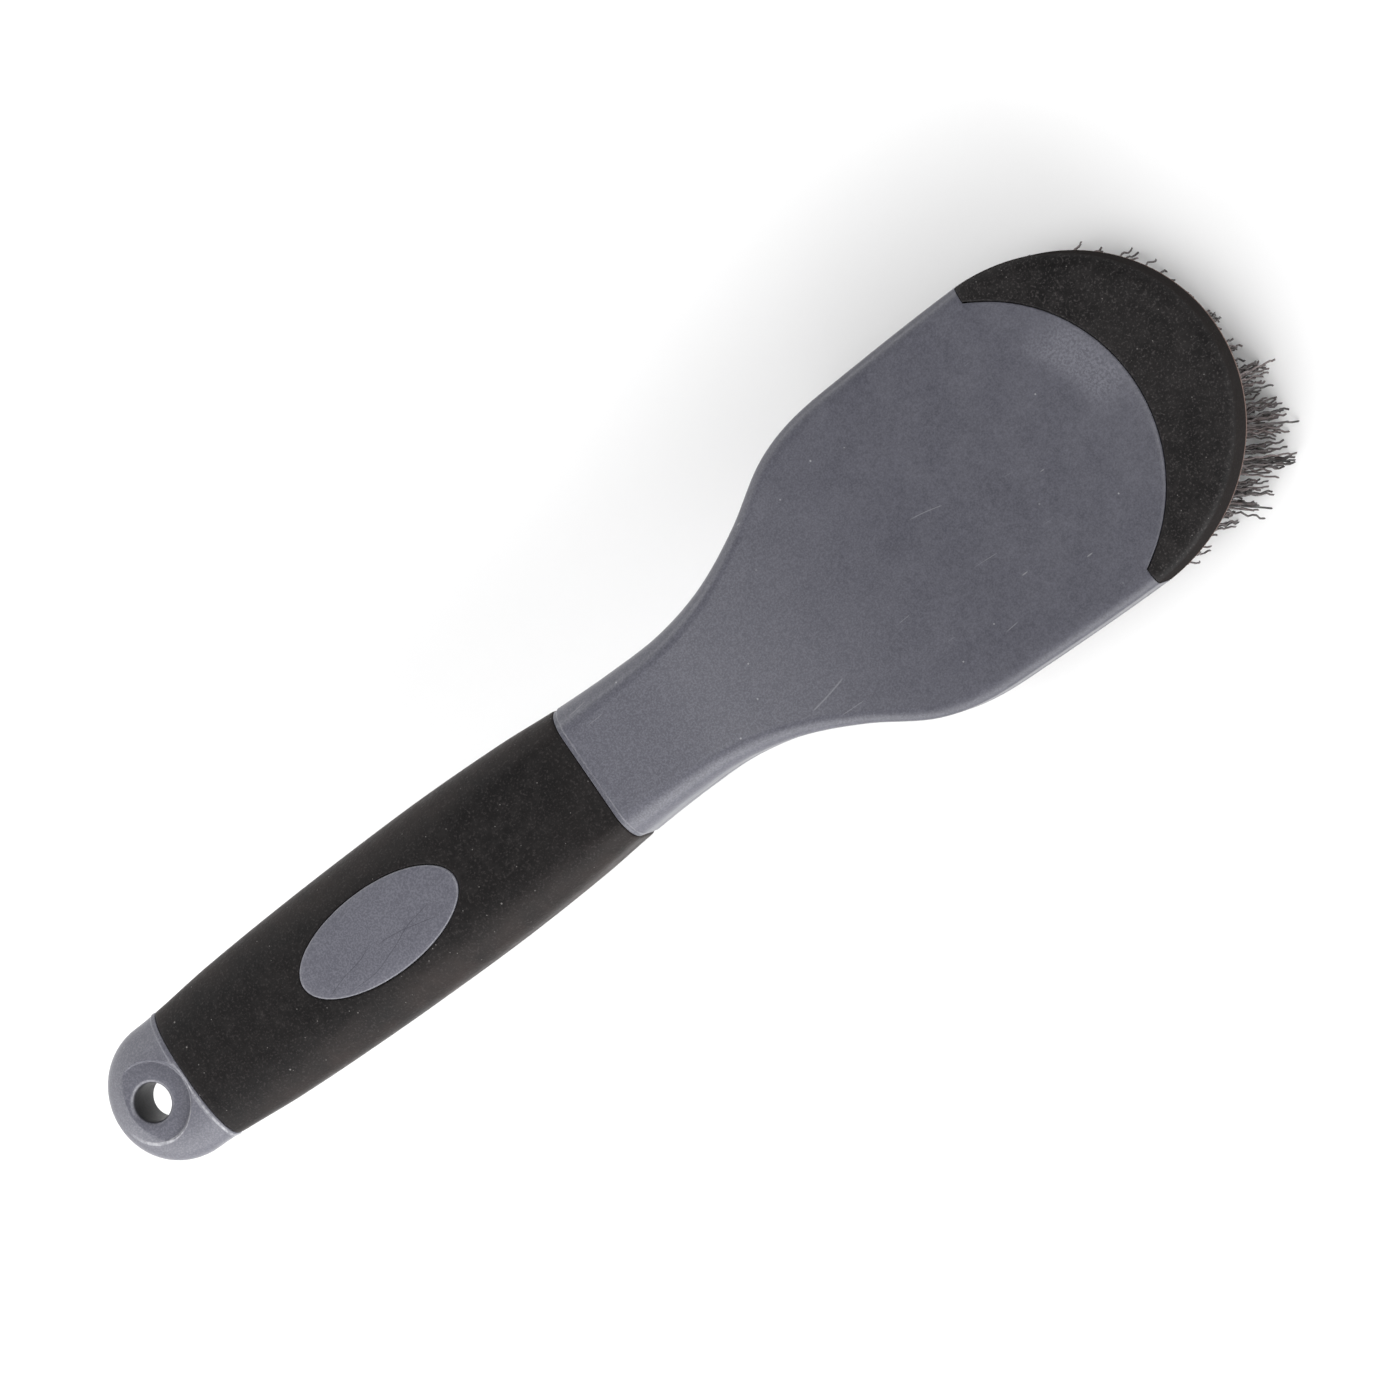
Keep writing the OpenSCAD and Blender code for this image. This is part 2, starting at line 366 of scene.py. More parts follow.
def body_rings():
    rows = [ring(butt_station(math.radians(4.5 * i)), parting=0.05) for i in range(21)]
    for s in steps(BUTT_RADIUS, GRIP_START - 1.3, 1.2)[1:]:
        rows.append(offset_ring(s, 0.0, 0.05))
    for s in steps(GRIP_START - 1.3, GRIP_START - PLASTIC_EDGE, 0.11)[1:-1]:
        rows.append(offset_ring(s, land(s)))
    for s, inset in reversed(rounded_end(GRIP_START, 0.22, -1)):
        rows.append(offset_ring(s, inset))
    for s in steps(GRIP_START, GRIP_END, 3.0):
        rows.append(offset_ring(s, GRIP_WALL + SEAM))
    for ahead, inset in ((0.0, 0.2), (0.06, 0.06), (0.2, 0.0)):
        rows.append(offset_ring(GRIP_END + ahead, NECK_STEP + inset))
    for s in steps(GRIP_END + 0.3, GRIP_END + 1.4, 0.11):
        rows.append(offset_ring(s, land(s)))
    for s in steps(GRIP_END + 1.4, BUMPER_START - 0.3, 1.4)[1:]:
        parting = 0.1 * min(1.0, (s - GRIP_END) / 20)
        rows.append(offset_ring(s, 0.0, parting))
    rows.append(offset_ring(BUMPER_START, 0.0))
    return rows


def arc_point(share):
    """A place on the bumper's inner arc. share runs from -1 to 1 across the brush."""
    corner = math.asin(CORNER_Y / BUMPER_INNER_RADIUS)
    angle = corner * share
    return (BUMPER_INNER_CENTRE + BUMPER_INNER_RADIUS * math.cos(angle),
            BUMPER_INNER_RADIUS * math.sin(angle))


def front_station(share):
    """The outline station that faces the same share of the bumper's arc."""
    corner = math.acos((BUMPER_START - TIP_START) / TIP_LENGTH)
    side = 1 if share >= 0 else -1
    s, half, nx, ny = tip_station(corner * abs(share))
    return s, half, nx, ny, side


def front_profile(share, inset, drop, lift=0.0):
    s, half, nx, ny, side = front_station(share)
    edge = edge_profile((s, half, nx, ny), inset, drop, lift)
    return [(x, side * y, z) for x, y, z in edge]


def between(a, b, count):
    """Points strictly between two points."""
    return [tuple(p + (q - p) * i / (count + 1) for p, q in zip(a, b))
            for i in range(1, count + 1)]


def body_front(skin, last_ring):
    """The head beyond the bumper's corners: the flat top as far as the arc, and the
    lower tongue that the bumper is moulded round."""
    half = len(last_ring) // 2
    top_side = last_ring[:COLUMNS + 1]
    low_side = last_ring[half - COLUMNS:half + 1]
    top_other = [last_ring[-i] for i in range(1, COLUMNS + 1)]
    low_other = [last_ring[half + i] for i in range(1, COLUMNS + 1)]
    chord_top = list(reversed(top_other)) + top_side
    chord_low = list(reversed(low_other)) + list(reversed(low_side))
    shares = [i / COLUMNS for i in range(-COLUMNS, COLUMNS + 1)]

    columns = []
    for share, top_index, low_index in zip(shares, chord_top, chord_low):
        start = skin.points[top_index]
        end = skin.points[low_index]
        ax, ay = arc_point(share)
        ax -= LENGTH / 2
        length = math.hypot(ax - start[0], ay - start[1])
        column = []
        edge = min(PLASTIC_EDGE, length / 2)
        runs = [((length - edge) * k / 20, 0.0) for k in range(1, 20)]
        runs += [(length - run, drop) for run, drop in quarter(edge, EDGE_ANGLES)]
        for run, drop in runs:
            t = run / length if length > 1e-4 else 0.0
            x, y = start[0] + (ax - start[0]) * t, start[1] + (ay - start[1]) * t
            column.append((x, y, top_z(x + LENGTH / 2) - drop))
        tongue = front_profile(share, BUMPER_WALL + SEAM, BUMPER_TOP + SEAM)
        floor = (ax, ay, top_z(ax + LENGTH / 2) - BUMPER_TOP - SEAM)
        column.append(floor)
        column += between(floor, tongue[0], 3)
        column += tongue
        column += between(tongue[-1], end, 4)
        columns.append(column)
    count = len(columns[0])
    rows = [skin.row([c[k] for c in columns]) for k in range(count)]
    skin.join(chord_top, rows[0])
    for a, b in zip(rows, rows[1:]):
        skin.join(a, b)
    skin.join(rows[-1], chord_low)
    side_outer = last_ring[COLUMNS:half - COLUMNS + 1]
    other_outer = [last_ring[-i] for i in range(COLUMNS, half - COLUMNS + 1)]
    for outer, k in ((side_outer, -1), (other_outer, 0)):
        inner = [r[k] for r in rows]
        skin.lid(outer + list(reversed(inner)))


def oval_pad(skin):
    """The body's boss that fills the window of the grip sleeve."""
    around = 96
    edge = 0.28
    a, b = OVAL_LENGTH / 2 - SEAM, OVAL_WIDTH / 2 - SEAM

    def oval_ring(long_half, short_half, lower=0.0):
        ring_points = []
        for i in range(around):
            t = 2 * math.pi * i / around
            s, y = OVAL_CENTRE + long_half * math.cos(t), short_half * math.sin(t)
            ring_points.append(at(s, y, top_surface(s, y) + PAD_HEIGHT - lower))
        return ring_points

    rows = [[at(OVAL_CENTRE, 0, top_z(OVAL_CENTRE) + PAD_HEIGHT)] * around]
    for k in range(1, 12):
        rows.append(oval_ring((a - edge) * (k / 12), (b - edge) * (k / 12)))
    for shrink, lower in quarter(edge, EDGE_ANGLES):
        rows.append(oval_ring(a - shrink, b - shrink, lower))
    rows.append(oval_ring(a, b, GRIP_WALL + 0.8))
    made = skin.rows(rows, closed=True)
    skin.lid(made[-1])


def lathe(skin, profile, centre, around):
    """A closed turned shape about a vertical axis, for cutting."""
    rows = []
    for r, z in profile:
        row = []
        for i in range(around):
            t = 2 * math.pi * i / around
            row.append((centre[0] + r * math.cos(t), centre[1] + r * math.sin(t), z))
        rows.append(row)
    return skin.rows(rows, closed=True)


def hole_profile():
    """Half section of the hanging hole with its soft lips and two spot faces."""
    middle = BRISTLE_LENGTH + (curve(TOP_LINE, HOLE_CENTRE) + curve(BOTTOM_LINE, HOLE_CENTRE)) / 2
    flat = 5.75
    lip = 0.8
    crown = 0.028

    def crowned(r):
        return flat - crown * (r - HOLE_RADIUS - lip)**2

    upper = [(HOLE_RADIUS + out, flat - down) for down, out in quarter(lip, (0, 30, 60, 90))]
    upper += [(r, crowned(r)) for r in (5.6, 6.4, 7.2)]
    foot = SPOT_RADIUS - 0.6
    low = crowned(foot)
    for a in (90, 60, 30, 0):
        t = math.radians(a)
        upper.append((foot + 0.5 * math.cos(t), low + 0.5 * (1 - math.sin(t))))
    upper += [(SPOT_RADIUS, low + 1.1), (SPOT_RADIUS + 0.25, low + 1.5),
              (SPOT_RADIUS + 0.7, low + 1.85), (SPOT_RADIUS + 1.1, low + 2.05),
              (SPOT_RADIUS + 1.2, low + 6), (0, low + 6)]
    return [(r, middle - z) for r, z in reversed(upper)] + [(r, middle + z) for r, z in upper]


def tuft_lean(s, y):
    """How a tuft leans, as turns about Y and X."""
    row_start = TIP_START - SIDE_TUFTS * TUFT_PITCH
    forward = TIP_LEAN * (s - row_start) / (LENGTH - EDGE_INSET - row_start)
    sideways = SIDE_LEAN * y / (HEAD_WIDTH / 2 - EDGE_INSET)
    return forward, sideways


def tuft_way(s, y):
    """Unit vector along a tuft, from its hole to its tips."""
    forward, sideways = tuft_lean(s, y)
    turned = Matrix.Rotation(-forward, 3, "Y") @ Matrix.Rotation(sideways, 3, "X")
    return turned @ Vector((0, 0, -1))


# How far use has bent the bristles' ends outwards: (turn round the tip, distance)
BENT = [(-90, -2.0), (-76, -0.6), (-62, 3.0), (-48, 4.0), (-35, 2.9), (-20, -1.0), (-7, -4.2),
        (7, -5.2), (20, -5.0), (35, -3.0), (48, -0.4), (62, 1.8), (90, 0.8)]


def tuft_bend(s, y):
    """Where use has pushed a tuft's ends, seen from above."""
    ahead = max(0.0, s - TIP_START) / (TIP_LENGTH - EDGE_INSET)
    across = y / (HEAD_WIDTH / 2 - EDGE_INSET)
    turn = math.degrees(math.atan2(across, ahead)) if ahead or across else 0.0
    out = Vector((ahead / TIP_LENGTH, across * 2 / HEAD_WIDTH, 0))
    if not out.length:
        return Vector((0, 0, 0))
    return out.normalized() * curve(BENT, turn) * min(1.0, math.hypot(ahead, across))**2


def side_places(side):
    places = []
    for i in range(1, SIDE_TUFTS + 1):
        s = TIP_START - i * TUFT_PITCH
        places.append((s, side * (curve(OUTLINE, s) - EDGE_INSET)))
    return places


def tip_places():
    places = []
    for i in range(TIP_TUFTS):
        a = math.radians(90 - 180 * i / (TIP_TUFTS - 1))
        places.append((TIP_START + (TIP_LENGTH - EDGE_INSET) * math.cos(a),
                       (HEAD_WIDTH / 2 - EDGE_INSET) * math.sin(a)))
    return places


def row_places(i):
    field_s = TIP_LENGTH - EDGE_INSET - 0.83 * TUFT_PITCH
    field_y = HEAD_WIDTH / 2 - EDGE_INSET - 0.83 * TUFT_PITCH
    s = TIP_START - SIDE_TUFTS * TUFT_PITCH + (i - 1) * ROW_PITCH
    count = ROW_TUFTS - (i - 1) % 2
    places = []
    for j in range(count):
        y = (j - (count - 1) / 2) * TUFT_PITCH
        if (max(0.0, s - TIP_START) / field_s)**2 + (y / field_y)**2 < 1:
            places.append((s, y))
    return places


TUFT_GROUPS = {
    "left_edge": side_places(1), "tip_edge": tip_places(), "right_edge": side_places(-1)}
for number in range(1, ROWS + 1):
    TUFT_GROUPS[f"row_{number}"] = row_places(number)


def tuft_holes(skin):
    for places in TUFT_GROUPS.values():
        for s, y in places:
            way = tuft_way(s, y)
            mouth = Vector(at(s, y, BRISTLE_LENGTH))
            across = way.orthogonal().normalized()
            other = way.cross(across)
            rows = []
            for depth in (-1.5, TUFT_DEPTH):
                centre = mouth - way * depth
                row = []
                for i in range(20):
                    t = 2 * math.pi * i / 20
                    out = across * math.cos(t) + other * math.sin(t)
                    row.append(tuple(centre + out * TUFT_RADIUS))
                rows.append(row)
            made = skin.rows(rows, closed=True)
            skin.lid(made[0])
            skin.lid(made[1])


def make_body():
    skin = Skin()
    made = skin.rows(body_rings(), closed=True)
    body_front(skin, made[-1])
    piece = new_piece("body", skin.mesh("body"))
    cutter = Skin()
    lathe(cutter, hole_profile(), at(HOLE_CENTRE, 0, 0), 96)
    cut_away(piece, new_piece("hole_cutter", cutter.mesh("hole_cutter")))
    cutter = Skin()
    tuft_holes(cutter)
    cut_away(piece, new_piece("tuft_cutter", cutter.mesh("tuft_cutter")))
    pad = Skin()
    oval_pad(pad)
    b = bmesh.new()
    b.from_mesh(piece.data)
    b.from_mesh(pad.mesh("pad"))
    b.to_mesh(piece.data)
    b.free()
    smooth(piece.data, 38)
    return piece


# ---------------------------------------------------------------- grip sleeve

WINDOW_REACH = 25.0
WINDOW_TURNS = 4
SLEEVE_STEP = 1.25


def sleeve_tube(skin, amount, ends):
    """One skin of the sleeve, with the oval window cut out. Returns its end rings and
    the window's edge."""
    start, end = ends
    stations = [s for s, _ in start]
    offsets = dict(start)
    first_flat, last_flat = start[-1][0], end[0][0]
    window_start, window_end = OVAL_CENTRE - WINDOW_REACH, OVAL_CENTRE + WINDOW_REACH
    stations += steps(first_flat, window_start, SLEEVE_STEP)[1:]
    window_rows = steps(window_start, window_end, SLEEVE_STEP)
    stations += window_rows[1:]
    stations += steps(window_end, last_flat, SLEEVE_STEP)[1:-1]
    for s, d in end:
        stations.append(s)
        offsets[s] = d
    rows = [skin.row(offset_ring(s, amount + offsets.get(s, 0.0))) for s in stations]
    i0 = stations.index(window_start)
    i1 = i0 + len(window_rows) - 1
    j1 = COLUMNS + 1 + WINDOW_TURNS
    count = len(rows[0])
    for i, (a, b) in enumerate(zip(rows, rows[1:])):
        for j in range(count):
            k = (j + 1) % count
            inside = (j < j1 or j >= count - j1) and i0 <= i < i1
            if not inside:
                skin.faces.append((a[j], a[k], b[k], b[j]))
    across = list(range(-j1, j1 + 1))
    border = [rows[i0][j % count] for j in across]
    border += [rows[i][j1] for i in range(i0 + 1, i1 + 1)]
    border += [rows[i1][j % count] for j in reversed(across[:-1])]
    border += [rows[i][-j1 % count] for i in range(i1 - 1, i0, -1)]
    return rows[0], rows[-1], window_ring_set(skin, border, amount)


def window_ring_set(skin, border, amount):
    """Rings from the window's rectangular border in to its oval edge."""
    a, b = OVAL_LENGTH / 2, OVAL_WIDTH / 2
    outer = [skin.points[i] for i in border]
    angles = [math.atan2(y / b, (x + LENGTH / 2 - OVAL_CENTRE) / a) for x, y, _ in outer]
    edge = RUBBER_EDGE if amount == 0 else 0.0

    def oval(t, out):
        n = Vector((math.cos(t) / a, math.sin(t) / b)).normalized()
        return OVAL_CENTRE + a * math.cos(t) + n.x * out, b * math.sin(t) + n.y * out

    rows = [border]
    for k in range(1, 8):
        share = 1 - (1 - k / 8)**1.5
        row = []
        for (x, y, _), t in zip(outer, angles):
            s0 = x + LENGTH / 2
            s1, y1 = oval(t, edge)
            s, yy = s0 + (s1 - s0) * share, y + (y1 - y) * share
            row.append(at(s, yy, top_surface(s, yy) - amount))
        rows.append(skin.row(row))
    for out, drop in quarter(edge, (0, 18, 36, 54, 72, 90) if edge else (0,)):
        places = [oval(t, out) for t in angles]
        rows.append(skin.row([at(s, y, top_surface(s, y) - amount - drop) for s, y in places]))
    for r0, r1 in zip(rows, rows[1:]):
        skin.join(r0, r1, closed=True)
    return rows[-1]


def make_sleeve():
    skin = Skin()
    gap = 0.05
    start = rounded_end(GRIP_START + gap, RUBBER_EDGE, 1)
    end = list(reversed(rounded_end(GRIP_END - gap, RUBBER_EDGE, -1)))
    plain = ([(GRIP_START + gap, 0.0), (GRIP_START + 1, 0.0)],
             [(GRIP_END - 1, 0.0), (GRIP_END - gap, 0.0)])
    outer = sleeve_tube(skin, 0.0, (start, end))
    inner = sleeve_tube(skin, GRIP_WALL, plain)
    for a, b in zip(outer, inner):
        skin.join(a, b, closed=True)
    mesh = skin.mesh("sleeve")
    smooth(mesh, 50)
    return new_piece("sleeve", mesh)


# ---------------------------------------------------------------- tip bumper

def bumper_section(share, ease=0.0):
    """A closed section of the bumper. ease rounds its two ends off."""
    ax, ay = arc_point(share)
    ax -= LENGTH / 2
    outer = front_profile(share, ease, ease, ease)
    way = Vector((outer[0][0] - ax, outer[0][1] - ay))
    length = way.length
    way.normalize()
    runs = [(SEAM + run, drop) for run, drop in quarter(RUBBER_EDGE, reversed(EDGE_ANGLES))]
    for k in range(1, 9):
        runs.append((SEAM + RUBBER_EDGE + (length - SEAM - RUBBER_EDGE) * k / 9, 0.0))
    points = []
    for run, drop in runs:
        x, y = ax + way.x * run, ay + way.y * run
        points.append((x, y, top_z(x + LENGTH / 2) - ease - drop))
    points += outer
    inner = front_profile(share, BUMPER_WALL, BUMPER_TOP)
    points += between(outer[-1], inner[-1], 1)
    points += list(reversed(inner))
    floor = (ax + way.x * SEAM, ay + way.y * SEAM, top_z(ax + LENGTH / 2) - BUMPER_TOP)
    points += between(inner[0], floor, 3)
    points.append(floor)
    return points


def make_bumper():
    skin = Skin()
    count = 72
    gap = 0.06
    radius = 0.35
    rows = []

    def moved(points, back):
        return [(x + back, y, z) for x, y, z in points]

    ends = [(gap + back, ease) for back, ease in quarter(radius, (90, 60, 30, 0))]
    for back, ease in ends:
        rows.append(moved(bumper_section(-1, ease), back))
    for i in range(1, count):
        share = -1 + 2 * i / count
        rows.append(moved(bumper_section(share), (gap + radius) * abs(share)**24))
    for back, ease in reversed(ends):
        rows.append(moved(bumper_section(1, ease), back))
    made = skin.rows(rows, closed=True)
    skin.lid(made[0])
    skin.lid(made[-1])
    mesh = skin.mesh("bumper")
    smooth(mesh, 50)
    return new_piece("bumper", mesh)


# ---------------------------------------------------------------- node helpers

class Wiring:
    """Short calls for the nodes of one tree."""

    def __init__(self, tree):
        self.tree = tree

    def node(self, kind, **settings):
        node = self.tree.nodes.new(kind)
        for key, value in settings.items():
            setattr(node, key, value)
        return node

    def put(self, node, key, value):
        """Sets a socket to a value, or wires another node's output to it."""
        socket = node.inputs[key]
        if isinstance(value, (int, float, tuple, str)):
            socket.default_value = value
        else:
            self.tree.links.new(value, socket)

    def math(self, kind, a, b=0.0):
        node = self.node("ShaderNodeMath", operation=kind)
        self.put(node, 0, a)
        self.put(node, 1, b)
        return node.outputs[0]

    def times(self, product, *others):
        for other in others:
            product = self.math("MULTIPLY", product, other)
        return product

    def size_of(self, value):
        return self.math("ABSOLUTE", value)

    def ramp(self, value, low, high, out_low=0.0, out_high=1.0, kind="LINEAR"):
        """A climb from one output to another between two limits, and level outside them."""
        node = self.node("ShaderNodeMapRange", interpolation_type=kind)
        limits = {"Value": value, "From Min": low, "From Max": high,
                  "To Min": out_low, "To Max": out_high}
        for key, limit in limits.items():
            self.put(node, key, limit)
        return node.outputs[0]


class Shader(Wiring):
    """A material's node tree, with short calls for its patterns."""

    def __init__(self, name):
        self.material = bpy.data.materials.new(name)
        self.material.use_nodes = True
        super().__init__(self.material.node_tree)
        self.tree.nodes.clear()
        self.bsdf = self.node("ShaderNodeBsdfPrincipled")
        self.put(self.node("ShaderNodeOutputMaterial"), 0, self.bsdf.outputs[0])
        self.place = self.node("ShaderNodeTexCoord").outputs["Object"]

    def set(self, **values):
        for key, value in values.items():
            self.bsdf.inputs[key.replace("_", " ")].default_value = value

    def feed(self, socket, value):
        self.put(self.bsdf, socket, value)

    def stretched(self, scale, turn=0.0):
        node = self.node("ShaderNodeMapping")
        self.put(node, "Scale", scale)
        self.put(node, "Rotation", (0, 0, turn))
        self.put(node, "Vector", self.place)
        return node.outputs[0]

    def noise(self, scale, detail=2.0, rough=0.5, place=None):
        node = self.node("ShaderNodeTexNoise")
        self.put(node, "Scale", scale)
        self.put(node, "Detail", detail)
        self.put(node, "Roughness", rough)
        self.put(node, "Vector", place or self.place)
        return node.outputs["Fac"]

    def axes(self):
        node = self.node("ShaderNodeSeparateXYZ")
        self.put(node, 0, self.place)
        return node.outputs

    def beyond(self, s):
        """How far a place is beyond a distance from the butt."""
        return self.math("SUBTRACT", self.axes()[0], x_at(s))

    def reach(self, dx, dy):
        return self.math("SQRT", self.math("ADD", self.times(dx, dx), self.times(dy, dy)))

    def oval_reach(self, centre, half_length, half_width):
        """How far out a place is, seen from above: one on an oval of these half sizes."""
        dx = self.math("DIVIDE", self.beyond(centre), half_length * MM)
        dy = self.math("DIVIDE", self.axes()[1], half_width * MM)
        return self.reach(dx, dy)

    def band(self, value, low, high, soft):
        """One between two limits, falling to nought over a short way outside them."""
        return self.times(self.ramp(value, low - soft, low), self.ramp(value, high + soft, high))

    def mix(self, share, a, b):
        node = self.node("ShaderNodeMix", data_type="RGBA")
        self.put(node, "Factor", share)
        for key, value in (("A", a), ("B", b)):
            place = next(i for i, socket in enumerate(node.inputs)
                         if socket.name == key and socket.type == "RGBA")
            self.put(node, place, (*value, 1.0) if isinstance(value, tuple) else value)
        return next(o for o in node.outputs if o.type == "RGBA")

    def painted(self, colour, *coats):
        """A colour with coats of (how much, tint) laid over it in turn."""
        for share, tint in coats:
            colour = self.mix(share, colour, tint)
        return colour

    def bump(self, *layers):
        """Layers of (height, depth in metres), the finest last."""
        normal = None
        for height, depth in layers:
            node = self.node("ShaderNodeBump")
            self.put(node, "Distance", depth)
            self.put(node, "Height", height)
            if normal:
                self.put(node, "Normal", normal)
            normal = node.outputs[0]
        self.feed("Normal", normal)

    def specks(self, scale, size, keep, place=None):
        """Small specks in a random few of the cells, round unless the place is stretched."""
        cells = self.node("ShaderNodeTexVoronoi")
        self.put(cells, "Scale", scale)
        self.put(cells, "Vector", place or self.place)
        dot = self.ramp(cells.outputs["Distance"], size, size * 0.6)
        pick = self.node("ShaderNodeSeparateColor")
        self.put(pick, 0, cells.outputs["Color"])
        return self.times(dot, self.ramp(pick.outputs[0], 1 - keep, 1 - keep + 0.01))

    def hairlines(self, scale, width, stretch, turn, patch_scale, share):
        """Thin curved scratches, each a short way along, in a few patches."""
        level = self.noise(scale, 0.0, 0.5, self.stretched(stretch, turn))
        line = self.ramp(self.size_of(self.math("SUBTRACT", level, 0.5)), width, 0.0)
        patch = self.ramp(self.noise(patch_scale, 1.0), 1 - share, 1 - share + 0.04)
        return self.times(line, patch)


# ---------------------------------------------------------------- grey plastic

# Where each scuff on the oval starts and ends, how far left it crosses the middle, and its slope
OVAL_SCUFFS = [(-15, -5, 1.2, 0.37), (-10, 11, -4.2, 0.22), (0, 11, -1.7, -0.26)]
# Slanting nicks: (cell scale, share of cells with one, turn)
NICKS = [(300, 0.16, 1.0), (330, 0.12, -0.5)]


def grey_plastic():
    m = Shader("grey_plastic")
    m.set(IOR=1.5)
    tone = m.noise(30, 3.0, 0.6)
    cloud = m.noise(160, 3.0, 0.65)
    fine = m.noise(1000, 3.0, 0.7)
    grain = m.noise(2600, 2.0, 0.65)
    scratch = m.hairlines(60, 0.0045, (0.25, 1.6, 1), 0.4, 90, 0.36)
    speck = m.specks(420, 0.10, 0.05)
    nick = m.math("MAXIMUM", *(m.specks(scale, 0.055, keep, m.stretched((0.2, 1, 1), turn))
                               for scale, keep, turn in NICKS))
    # Painted light: the handle and neck are painted paler than the head, and a grainy share of that
    # is painted paler still.
    handle_light_share = painted_handle_light(m)
    grainy_handle_light = m.times(handle_light_share, m.ramp(grain, 0.45, 0.62, 0.0, 0.5))
    # Painted sheen: a grainy paler patch inside the bumper's arc, standing in for a reflection.
    sheen = m.times(painted_arc_sheen(m), m.ramp(m.noise(1900, 2.0, 0.6), 0.42, 0.60, 0.15, 0.65))
    # Painted highlights on the rim of the hanging hole, the steps beside the grip sleeve and the
    # edge of the oval, broken up in patches.
    painted_edge_highlights = m.math("MAXIMUM", m.math("MAXIMUM", painted_rim_highlight(m), painted_joint_highlights(m)), painted_oval_rim(m))
    patchy = m.ramp(m.noise(700, 3.0, 0.7), 0.4, 0.6, 0.25, 0.95)
    far = hole_distance(m)
    # Painted shade: the bore of the hanging hole is painted near black, standing in for the shade
    # inside the hole.
    painted_bore_shade = m.ramp(far, (HOLE_RADIUS + 0.3) * MM, HOLE_RADIUS * MM, 0.0, 0.9)
    # Coats that are painted light: the handle paleness, its grainy part, the arc sheen and the edge
    # highlights. The last coat is painted shade in the hole's bore.
    m.feed("Base Color", m.painted(
        m.mix(m.ramp(tone, 0.3, 0.7), (0.041, 0.041, 0.053), (0.044, 0.044, 0.057)),
        (handle_light_share, (0.1, 0.1, 0.122)),
        (m.ramp(cloud, 0.4, 0.75, 0.0, 0.15), (0.09, 0.09, 0.11)),
        (m.ramp(fine, 0.4, 0.7, 0.0, 0.25), (0.11, 0.11, 0.135)),
        (m.ramp(grain, 0.4, 0.65, 0.0, 0.3), (0.12, 0.12, 0.145)),
        (grainy_handle_light, (0.19, 0.19, 0.22)),
        (sheen, (0.137, 0.137, 0.16)),
        (m.times(scratch, 0.6), (0.2, 0.2, 0.215)),
        (m.times(nick, 0.5), (0.24, 0.24, 0.25)),
        (m.times(speck, 0.6), (0.3, 0.3, 0.31)),
        (m.times(painted_edge_highlights, patchy), (0.32, 0.32, 0.34)),
        (m.times(oval_scuffs(m), 0.55), (0.02, 0.02, 0.03)),
        (painted_bore_shade, (0.006, 0.0055, 0.0055))))
    m.feed("Roughness", m.ramp(cloud, 0.3, 0.7, 0.28, 0.38))
    # Painted shade: the reflections inside the hole's bore are turned down, so that it reads as
    # shaded.
    m.feed("Specular IOR Level",
           m.ramp(far, HOLE_RADIUS * MM, (HOLE_RADIUS + 0.4) * MM, 0.04, 0.5))
    m.bump((tone, 0.0002), (cloud, 0.00002), (fine, 0.00001), (grain, 0.000014))
    return m.material


def above_head(m):
    """One on the top of the handle, and nought as low as the top of the head."""
    level = BRISTLE_LENGTH + HEAD_THICKNESS
    return m.ramp(m.axes()[2], level * MM, (level + 0.5) * MM)


def oval_scuffs(m):
    """Long dark scuffs across the raised oval. Sizes are in millimetres from its centre."""
    x, y, _ = m.axes()
    wander = m.ramp(m.noise(60, 1.0, 0.5), 0.3, 0.7, -1.1 * MM, 1.1 * MM)
    marks = 0.0
    for start, end, middle, slope in OVAL_SCUFFS:
        rise = m.times(m.beyond(OVAL_CENTRE), slope)
        off = m.math("SUBTRACT", m.math("SUBTRACT", y, middle * MM), m.math("ADD", rise, wander))
        line = m.ramp(m.size_of(off), 0.12 * MM, 0.03 * MM)
        length = m.band(x, x_at(OVAL_CENTRE + start), x_at(OVAL_CENTRE + end), 2 * MM)
        marks = m.math("MAXIMUM", m.times(line, length), marks)
    return m.times(marks, above_head(m))


def painted_oval_rim(m):
    """Painted highlight: the thin pale line round the edge of the raised oval."""
    far = m.oval_reach(OVAL_CENTRE, OVAL_LENGTH / 2, OVAL_WIDTH / 2)
    return m.times(m.band(far, 0.975, 0.99, 0.006), above_head(m), 0.28)


def painted_handle_light(m):
    """Painted light: how far the plastic is painted paler, standing in for the brighter light on
    the neck and handle; not at all on the head, and most at the butt.
    """
    x = m.axes()[0]
    neck = m.ramp(x, x_at(210), x_at(GRIP_END), 0.0, 0.44)
    handle = m.ramp(x, x_at(GRIP_END), x_at(HOLE_CENTRE), 0.0, 0.26)
    return m.math("ADD", neck, handle)


def painted_arc_sheen(m):
    """Painted sheen: a soft patch of grainy painted reflection inside the bumper's arc, on the left
    of the head.
    """
    dx, y = m.beyond(BUMPER_INNER_CENTRE), m.axes()[1]
    ring = m.band(m.reach(dx, y), 27.5 * MM, (BUMPER_INNER_RADIUS - 2) * MM, 3.5 * MM)
    return m.times(ring, m.ramp(dx, 5 * MM, 18 * MM), m.band(y, 3 * MM, 14 * MM, 7 * MM))


def hole_distance(m):
    """How far a place is from the axis of the hanging hole."""
    return m.reach(m.beyond(HOLE_CENTRE), m.axes()[1])


